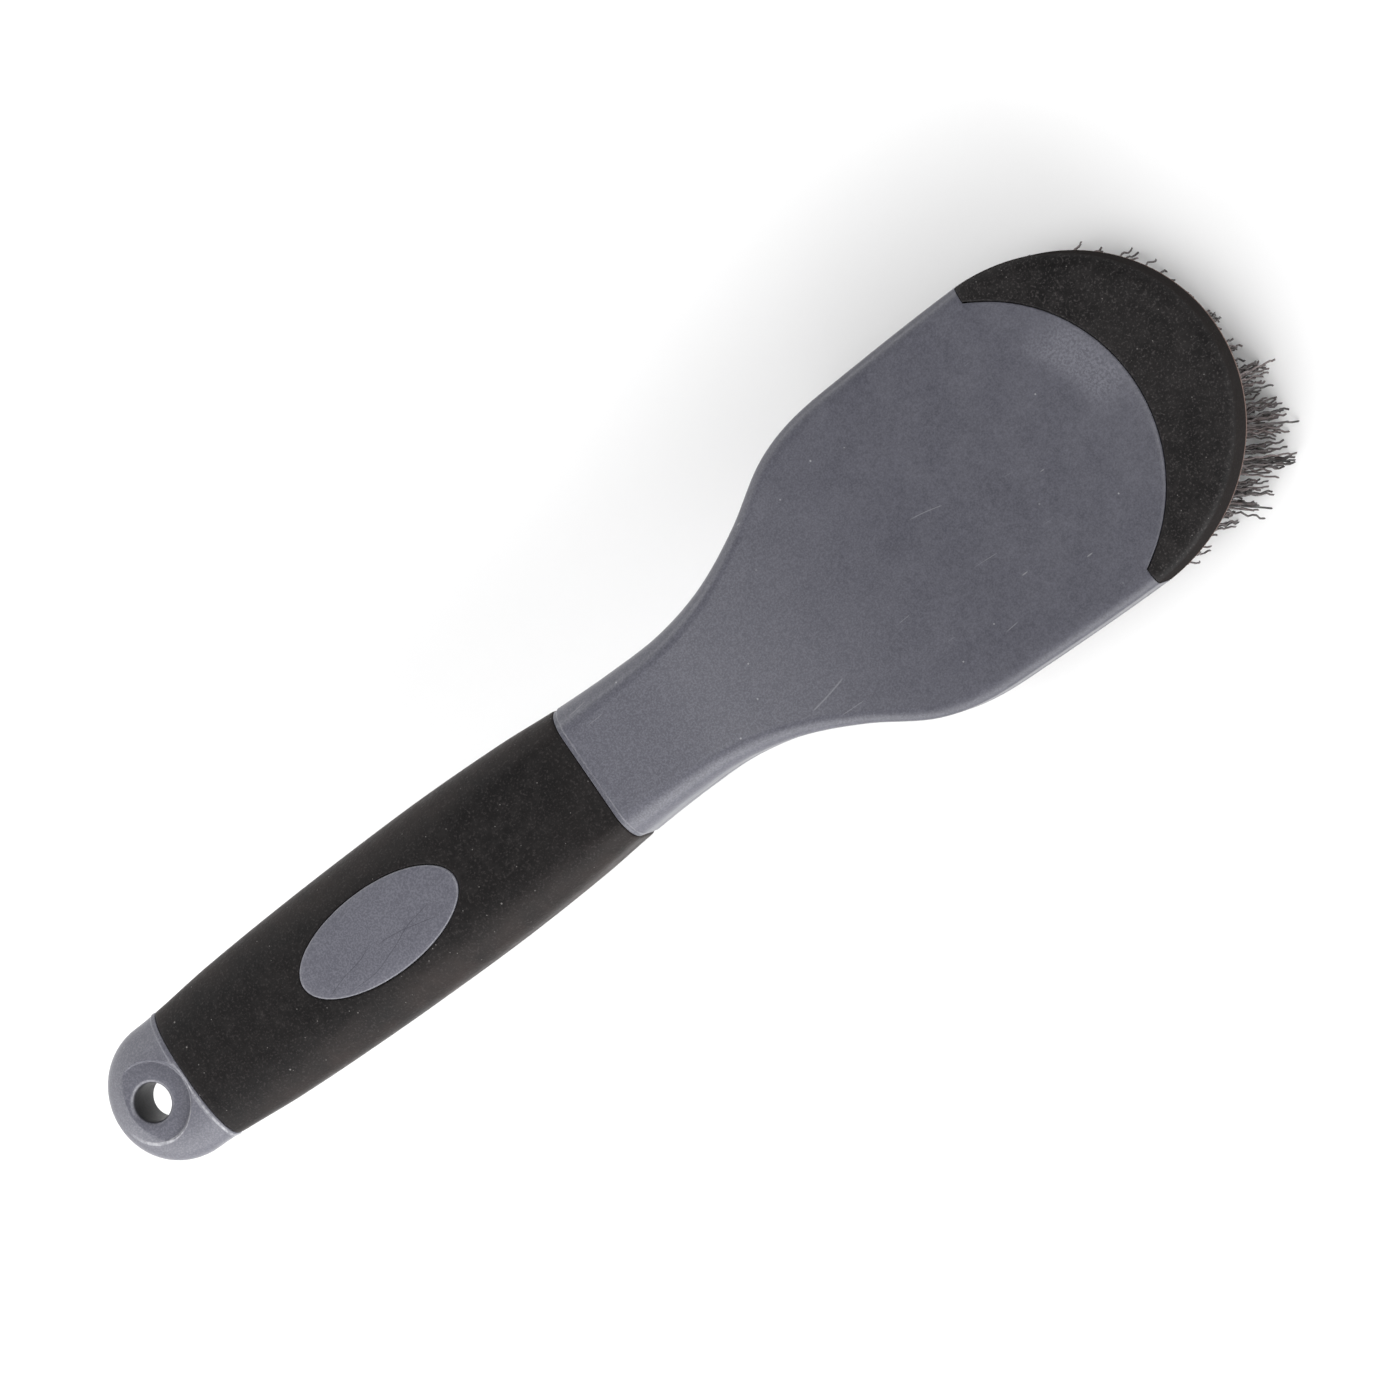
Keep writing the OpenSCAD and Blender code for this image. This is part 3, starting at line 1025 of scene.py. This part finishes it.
def painted_rim_highlight(m):
    """Painted highlight: the pale rim round the hanging hole, on the side away from the butt end,
    and a fainter pale line at its lip.
    """
    y = m.axes()[1]
    far = hole_distance(m)
    rim = m.band(far, (SPOT_RADIUS - 0.45) * MM, SPOT_RADIUS * MM, 0.22 * MM)
    lip = m.band(far, (HOLE_RADIUS + 0.05) * MM, (HOLE_RADIUS + 0.5) * MM, 0.25 * MM)
    side = m.ramp(m.math("SUBTRACT", m.times(m.beyond(HOLE_CENTRE), 0.35), y), -2 * MM, 4 * MM)
    return m.math("MAXIMUM", m.times(rim, side), m.times(lip, 0.5, m.ramp(y, -1 * MM, 3 * MM)))


def painted_joint_highlights(m):
    """Painted highlights: thin pale lines along the hard plastic where it meets the grip sleeve."""
    x, y, _ = m.axes()
    butt = m.band(x, x_at(GRIP_START - 0.75), x_at(GRIP_START - 0.45), 0.15 * MM)
    neck = m.band(x, x_at(GRIP_END + 1.0), x_at(GRIP_END + 1.2), 0.15 * MM)
    ends = m.ramp(m.size_of(y), 4 * MM, 12 * MM)
    return m.math("MAXIMUM", m.times(butt, m.ramp(y, 5 * MM, -1 * MM)), m.times(neck, ends, 0.3))


# ---------------------------------------------------------------- other materials

def pale(colour, times):
    return tuple(times * part for part in colour)


def black_rubber(name, dust, warm, gloss, brown_edge=False):
    """Dusty black rubber. The bumper's has a plain outer wall with a brown lower edge."""
    m = Shader(name)
    m.set(IOR=1.5, Specular_IOR_Level=gloss)
    cloud = m.noise(70, 4.0, 0.7)
    blotch = m.noise(420, 4.0, 0.75)
    grain = m.noise(2200, 2.0, 0.65)
    speck = m.math("MAXIMUM", m.specks(900, 0.12, 0.16), m.specks(260, 0.06, 0.14))
    colour = m.painted(
        m.mix(m.ramp(cloud, 0.36, 0.68), (0.0035, 0.0031, 0.0033), warm),
        (m.ramp(blotch, 0.46, 0.68, 0.0, 0.6), pale(warm, 1.6)),
        (m.ramp(grain, 0.54, 0.68, 0.0, 0.65), pale(warm, 4.0)),
        (m.times(speck, dust), (0.2, 0.19, 0.185)))
    if brown_edge:
        outside = m.ramp(m.oval_reach(TIP_START, TIP_LENGTH, HEAD_WIDTH / 2), 0.985, 0.996)
        low = m.ramp(m.axes()[2], (BRISTLE_LENGTH + 1.5) * MM, (BRISTLE_LENGTH + 1.1) * MM,
                     0.0, 0.8)
        colour = m.painted(colour, (m.times(outside, 0.75), (0.021, 0.019, 0.0185)),
                           (m.times(low, outside), (0.22, 0.155, 0.135)))
        m.feed("Specular IOR Level", m.ramp(outside, 0.0, 1.0, gloss, 0.0))
    else:
        m.set(Sheen_Weight=0.02, Sheen_Roughness=0.5, Sheen_Tint=(1.0, 0.85, 0.8, 1.0))
        # Painted sheen: the grip's sides are painted a warm brown towards its edges, standing in
        # for the warm light that grazes them.
        wall = m.ramp(m.size_of(m.axes()[1]), 9.5 * MM, 16.5 * MM, 0.0, 0.5)
        colour = m.mix(m.times(wall, m.ramp(cloud, 0.3, 0.7)), colour, (0.034, 0.022, 0.019))
    m.feed("Base Color", colour)
    m.feed("Roughness", m.ramp(blotch, 0.3, 0.7, 0.4, 0.55))
    m.bump((cloud, 0.0003), (blotch, 0.00008), (grain, 0.00003))
    return m.material


def bristle_plastic():
    m = Shader("bristle")
    m.set(IOR=1.5)
    shade = m.node("ShaderNodeAttribute", attribute_name="shade")
    streaks = m.noise(500, 2.0, 0.6)
    m.feed("Base Color", m.painted(
        m.mix(shade.outputs["Fac"], (0.004, 0.003, 0.003), (0.11, 0.083, 0.08)),
        (m.ramp(streaks, 0.3, 0.7, 0.0, 0.4), (0.01, 0.008, 0.008))))
    m.feed("Roughness", m.ramp(streaks, 0.3, 0.7, 0.32, 0.5))
    m.bump((streaks, 0.00002))
    return m.material


def staple_steel():
    m = Shader("staple_steel")
    m.set(Metallic=1.0)
    drawn = m.noise(1500, 2.0, 0.6, m.stretched((1, 0.05, 1)))
    m.feed("Base Color", m.mix(m.ramp(drawn, 0.3, 0.7), (0.48, 0.48, 0.49), (0.62, 0.62, 0.63)))
    m.feed("Roughness", m.ramp(drawn, 0.3, 0.7, 0.28, 0.42))
    m.bump((drawn, 0.00001))
    return m.material


def floor_paint():
    m = Shader("floor")
    m.set(Roughness=0.9)
    m.feed("Base Color", m.mix(m.noise(3, 2.0), (0.9, 0.9, 0.9), (0.92, 0.92, 0.92)))
    return m.material


# ---------------------------------------------------------------- bristles

class Growth(Wiring):
    """The node tree that grows crimped filaments from the tufts' holes."""

    def __init__(self):
        super().__init__(bpy.data.node_groups.new("grow_bristles", "GeometryNodeTree"))
        self.sockets = {}
        self.input("Geometry", "NodeSocketGeometry")
        self.input("Filaments", "NodeSocketInt")
        self.input("Seed", "NodeSocketInt")
        for name in ("Hole Radius", "Tip Radius", "Stray", "Root Depth", "Length",
                     "Crimp", "Crimp Length", "Filament Radius", "Ragged"):
            self.input(name, "NodeSocketFloat")
        self.input("Material", "NodeSocketMaterial")
        self.tree.interface.new_socket(
            "Geometry", in_out="OUTPUT", socket_type="NodeSocketGeometry")
        self.inputs = self.node("NodeGroupInput").outputs
        self.build()

    def input(self, name, kind):
        socket = self.tree.interface.new_socket(name, in_out="INPUT", socket_type=kind)
        self.sockets[name] = socket.identifier

    def vector(self, kind, a, b):
        node = self.node("ShaderNodeVectorMath", operation=kind)
        self.put(node, 0, a)
        self.put(node, 1, b)
        return node.outputs[0]

    def plus(self, a, b):
        return self.vector("ADD", a, b)

    def scaled(self, vector, size):
        node = self.node("ShaderNodeVectorMath", operation="SCALE")
        self.put(node, 0, vector)
        self.put(node, "Scale", size)
        return node.outputs[0]

    def join_xyz(self, x, y, z):
        node = self.node("ShaderNodeCombineXYZ")
        for key, value in zip("XYZ", (x, y, z)):
            self.put(node, key, value)
        return node.outputs[0]

    def level_way(self, turn):
        """A level vector of length one, turned about the upright axis."""
        return self.join_xyz(self.math("COSINE", turn), self.math("SINE", turn), 0.0)

    def random(self, low, high, salt):
        node = self.node("FunctionNodeRandomValue", data_type="FLOAT")
        numbers = [s for s in node.inputs if s.type == "VALUE"]
        numbers[0].default_value = low
        numbers[1].default_value = high
        self.put(node, "Seed", self.math("ADD", self.inputs["Seed"], float(salt)))
        return next(s for s in node.outputs if s.type == "VALUE" and s.enabled)

    def named(self, name, kind="FLOAT_VECTOR"):
        node = self.node("GeometryNodeInputNamedAttribute", data_type=kind)
        self.put(node, "Name", name)
        return next(s for s in node.outputs if s.enabled and s.name == "Attribute")

    def store(self, geometry, name, value, kind="FLOAT_VECTOR"):
        node = self.node("GeometryNodeStoreNamedAttribute", data_type=kind, domain="POINT")
        self.put(node, "Name", name)
        self.put(node, "Geometry", geometry)
        target = next(s for s in node.inputs if s.enabled and s.name == "Value")
        self.tree.links.new(value, target)
        return node.outputs[0]

    def build(self):
        given = self.inputs
        many = self.node("GeometryNodeDuplicateElements", domain="POINT")
        self.put(many, "Geometry", given["Geometry"])
        self.put(many, "Amount", given["Filaments"])
        points = many.outputs["Geometry"]
        mouth = self.node("GeometryNodeInputPosition").outputs[0]
        way = self.named("way")

        circle = self.level_way(self.random(0.0, 2 * math.pi, 1))
        out = self.math("SQRT", self.random(0.0, 1.0, 2))
        near = self.scaled(circle, self.times(out, given["Hole Radius"]))
        far = self.scaled(circle, self.times(out, given["Tip Radius"]))
        stray_way = self.level_way(self.random(0.0, 2 * math.pi, 3))
        stray = self.times(self.math("POWER", self.random(0.0, 1.0, 4), 3.0), given["Stray"])
        far = self.plus(far, self.scaled(stray_way, stray))
        short = self.join_xyz(0.0, 0.0, self.times(self.random(0.0, 1.0, 5), given["Ragged"]))
        down = self.scaled(way, given["Length"])
        tip = self.plus(self.plus(mouth, down), self.plus(far, short))
        deep = self.scaled(way, self.times(given["Root Depth"], -1.0))
        root = self.plus(self.plus(mouth, near), deep)

        points = self.store(points, "root", root)
        points = self.store(points, "tip", tip)
        points = self.store(points, "phase", self.random(0.0, 2 * math.pi, 6), "FLOAT")
        points = self.store(points, "swing_turn", self.random(0.0, 2 * math.pi, 7), "FLOAT")
        points = self.store(points, "pace", self.random(0.85, 1.2, 8), "FLOAT")
        points = self.store(points, "shade", self.random(0.0, 1.0, 9), "FLOAT")

        fine = self.node("GeometryNodeResampleCurve")
        self.put(fine, "Count", FILAMENT_STEPS + 1)
        self.put(fine, "Curve", self.node("GeometryNodeCurvePrimitiveLine").outputs[0])
        place = self.node("GeometryNodeInstanceOnPoints")
        self.put(place, "Points", points)
        self.put(place, "Instance", fine.outputs[0])
        real = self.node("GeometryNodeRealizeInstances")
        self.put(real, 0, place.outputs[0])

        share = self.node("GeometryNodeSplineParameter").outputs["Factor"]
        root, tip = self.named("root"), self.named("tip")
        straight = self.plus(root, self.scaled(self.vector("SUBTRACT", tip, root), share))
        waves = self.math("DIVIDE", self.times(given["Length"], 2 * math.pi), given["Crimp Length"])
        pace = self.times(self.named("pace", "FLOAT"), waves)
        angle = self.math("ADD", self.times(share, pace), self.named("phase", "FLOAT"))
        ease = self.math("MINIMUM", self.times(share, 5.0), 1.0)
        size = self.times(self.math("SINE", angle), given["Crimp"], ease)
        swing = self.level_way(self.named("swing_turn", "FLOAT"))
        bent = self.plus(straight, self.scaled(swing, size))
        bent = self.plus(bent, self.scaled(self.named("bend"), self.math("POWER", share, 1.7)))
        shape = self.node("GeometryNodeSetPosition")
        self.put(shape, "Geometry", real.outputs[0])
        self.put(shape, "Position", bent)

        circle = self.node("GeometryNodeCurvePrimitiveCircle")
        self.put(circle, "Resolution", 3)
        self.put(circle, "Radius", given["Filament Radius"])
        body = self.node("GeometryNodeCurveToMesh")
        self.put(body, "Curve", shape.outputs[0])
        self.put(body, "Profile Curve", circle.outputs[0])
        self.put(body, "Fill Caps", True)
        last = self.node("GeometryNodeRealizeInstances")
        self.put(last, 0, body.outputs[0])
        paint = self.node("GeometryNodeSetMaterial")
        self.put(paint, "Geometry", last.outputs[0])
        self.put(paint, "Material", given["Material"])
        self.put(self.node("NodeGroupOutput"), 0, paint.outputs[0])


def grow_tufts(growth, name, places, material, seed):
    """The filaments of one group of tufts, as one plain mesh."""
    mesh = bpy.data.meshes.new(name)
    mesh.from_pydata([Vector(at(s, y, BRISTLE_LENGTH)) * MM for s, y in places], [], [])
    ways = mesh.attributes.new("way", "FLOAT_VECTOR", "POINT")
    bends = mesh.attributes.new("bend", "FLOAT_VECTOR", "POINT")
    for i, (s, y) in enumerate(places):
        way = tuft_way(s, y)
        ways.data[i].vector = way / abs(way.z)
        bends.data[i].vector = tuft_bend(s, y) * MM
    piece = new_piece(name, mesh)
    grow = piece.modifiers.new("grow", "NODES")
    grow.node_group = growth.tree
    sizes = {
        "Filaments": FILAMENTS, "Seed": seed, "Hole Radius": (TUFT_RADIUS - 0.25) * MM,
        "Tip Radius": 1.5 * TUFT_TIP_RADIUS * MM, "Stray": STRAY * MM,
        "Root Depth": ROOT_DEPTH * MM, "Length": (BRISTLE_LENGTH - 0.1) * MM,
        "Crimp": CRIMP * MM, "Crimp Length": CRIMP_LENGTH * MM,
        "Filament Radius": FILAMENT_RADIUS * MM, "Ragged": RAGGED * MM, "Material": material}
    for key, value in sizes.items():
        grow[growth.sockets[key]] = value
    applied(piece)
    mesh = piece.data
    for key in ("root", "tip", "phase", "swing_turn", "pace", "way", "bend"):
        if key in mesh.attributes:
            mesh.attributes.remove(mesh.attributes[key])
    mesh.shade_smooth()
    return piece


# ---------------------------------------------------------------- camera and light

# How wide the camera sees at the brush, and the side of its square picture's film
VIEW_WIDTH = 1400 / 5.107
FILM = 36
CAMERA_DISTANCE = 2.2


def set_camera():
    """A long lens above the brush, a little towards the tip and the right side."""
    tilt, aside, roll = math.radians(20), math.radians(17.8), math.radians(36.57)
    look = Vector((math.sin(tilt) * math.cos(aside), -math.sin(tilt) * math.sin(aside),
                   math.cos(tilt)))
    level = (Vector((1, 0, 0)) - look * look.x).normalized()
    up = look.cross(level)
    right = level * math.cos(roll) - up * math.sin(roll)
    above = level * math.sin(roll) + up * math.cos(roll)
    target = Vector((0.0123, 0, 0.038))
    data = bpy.data.cameras.new("camera")
    data.sensor_width = FILM
    data.lens = FILM * CAMERA_DISTANCE / (VIEW_WIDTH * MM)
    data.clip_end = 20
    camera = bpy.data.objects.new("camera", data)
    turn = Matrix((right, above, look)).transposed().to_4x4()
    camera.matrix_world = Matrix.Translation(target + look * CAMERA_DISTANCE) @ turn
    bpy.context.scene.collection.objects.link(camera)
    bpy.context.scene.camera = camera
    return right, above


def add_light(name, place, size, power, target=(0, 0, 0.03)):
    data = bpy.data.lights.new(name, "AREA")
    data.shape = "RECTANGLE"
    data.size, data.size_y = size
    data.energy = power
    light = bpy.data.objects.new(name, data)
    light.location = place
    light.rotation_euler = (Vector(target) - Vector(place)).to_track_quat("-Z", "Y").to_euler()
    bpy.context.scene.collection.objects.link(light)


def set_studio(right, above):
    """A white tent: bright all round and low down, dim overhead, with soft boxes."""
    world = bpy.data.worlds.new("studio")
    world.use_nodes = True
    sky = Wiring(world.node_tree)
    background = sky.tree.nodes["Background"]
    sky.put(background, "Color", (1, 1, 1, 1))
    way = sky.node("ShaderNodeTexCoord").outputs["Generated"]
    parts = sky.node("ShaderNodeSeparateXYZ")
    sky.put(parts, 0, way)
    height = sky.ramp(parts.outputs["Z"], 0.55, 0.92, 2.3, 0.22, "SMOOTHSTEP")
    dim_side = sky.node("ShaderNodeVectorMath", operation="DOT_PRODUCT")
    sky.put(dim_side, 0, way)
    sky.put(dim_side, 1, (0.5, 0.87, 0))
    side = sky.ramp(dim_side.outputs["Value"], -0.9, 0.9, 1.4, 0.42)
    sky.put(background, "Strength", sky.times(height, side))
    bpy.context.scene.world = world
    flat_right = Vector((right.x, right.y, 0)).normalized()
    flat_above = Vector((above.x, above.y, 0)).normalized()
    add_light("key", flat_above * 0.9 - flat_right * 1.3 + Vector((0, 0, 1.0)), (0.45, 0.45), 2)
    add_light("side", flat_right * 1.2 - flat_above * 1.2 + Vector((0, 0, 0.8)), (0.9, 0.4), 9)
    add_light("overhead", Vector((0.17, -0.06, 1.9)), (0.5, 0.7), 5)
    bpy.context.scene.view_settings.view_transform = "Standard"
    size = 3.0
    corners = [(-size, -size, 0), (size, -size, 0), (size, size, 0), (-size, size, 0)]
    mesh = bpy.data.meshes.new("floor")
    mesh.from_pydata(corners, [], [(0, 1, 2, 3)])
    floor = new_piece("floor", mesh)
    floor.data.materials.append(floor_paint())


# ---------------------------------------------------------------- the brush

def finish_piece(piece, material, node):
    """Gives a piece its material, if it grew without one, and its place in the frame."""
    if not piece.data.materials:
        piece.data.materials.append(material)
    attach(piece, "root")
    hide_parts(node)


right, above = set_camera()
set_studio(right, above)

finish_piece(make_body(), grey_plastic(), "moulded_body")
grip_rubber = black_rubber("grip_rubber", 0.7, (0.0082, 0.0072, 0.0072), 0.14)
finish_piece(make_sleeve(), grip_rubber, "grip_sleeve")
bumper_rubber = black_rubber("bumper_rubber", 0.6, (0.0120, 0.0108, 0.0108), 0.13, True)
finish_piece(make_bumper(), bumper_rubber, "tip_bumper")

bristle = bristle_plastic()
growth = Growth()
for seed, (group, places) in enumerate(TUFT_GROUPS.items()):
    tufts = grow_tufts(growth, f"bristles_{group}", places, bristle, 100 * seed)
    finish_piece(tufts, bristle, f"tufts_{group}")

steel = staple_steel()
for group in TUFT_GROUPS:
    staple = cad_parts[f"staples_{group}"]
    for slot in staple.material_slots:
        slot.material = steel
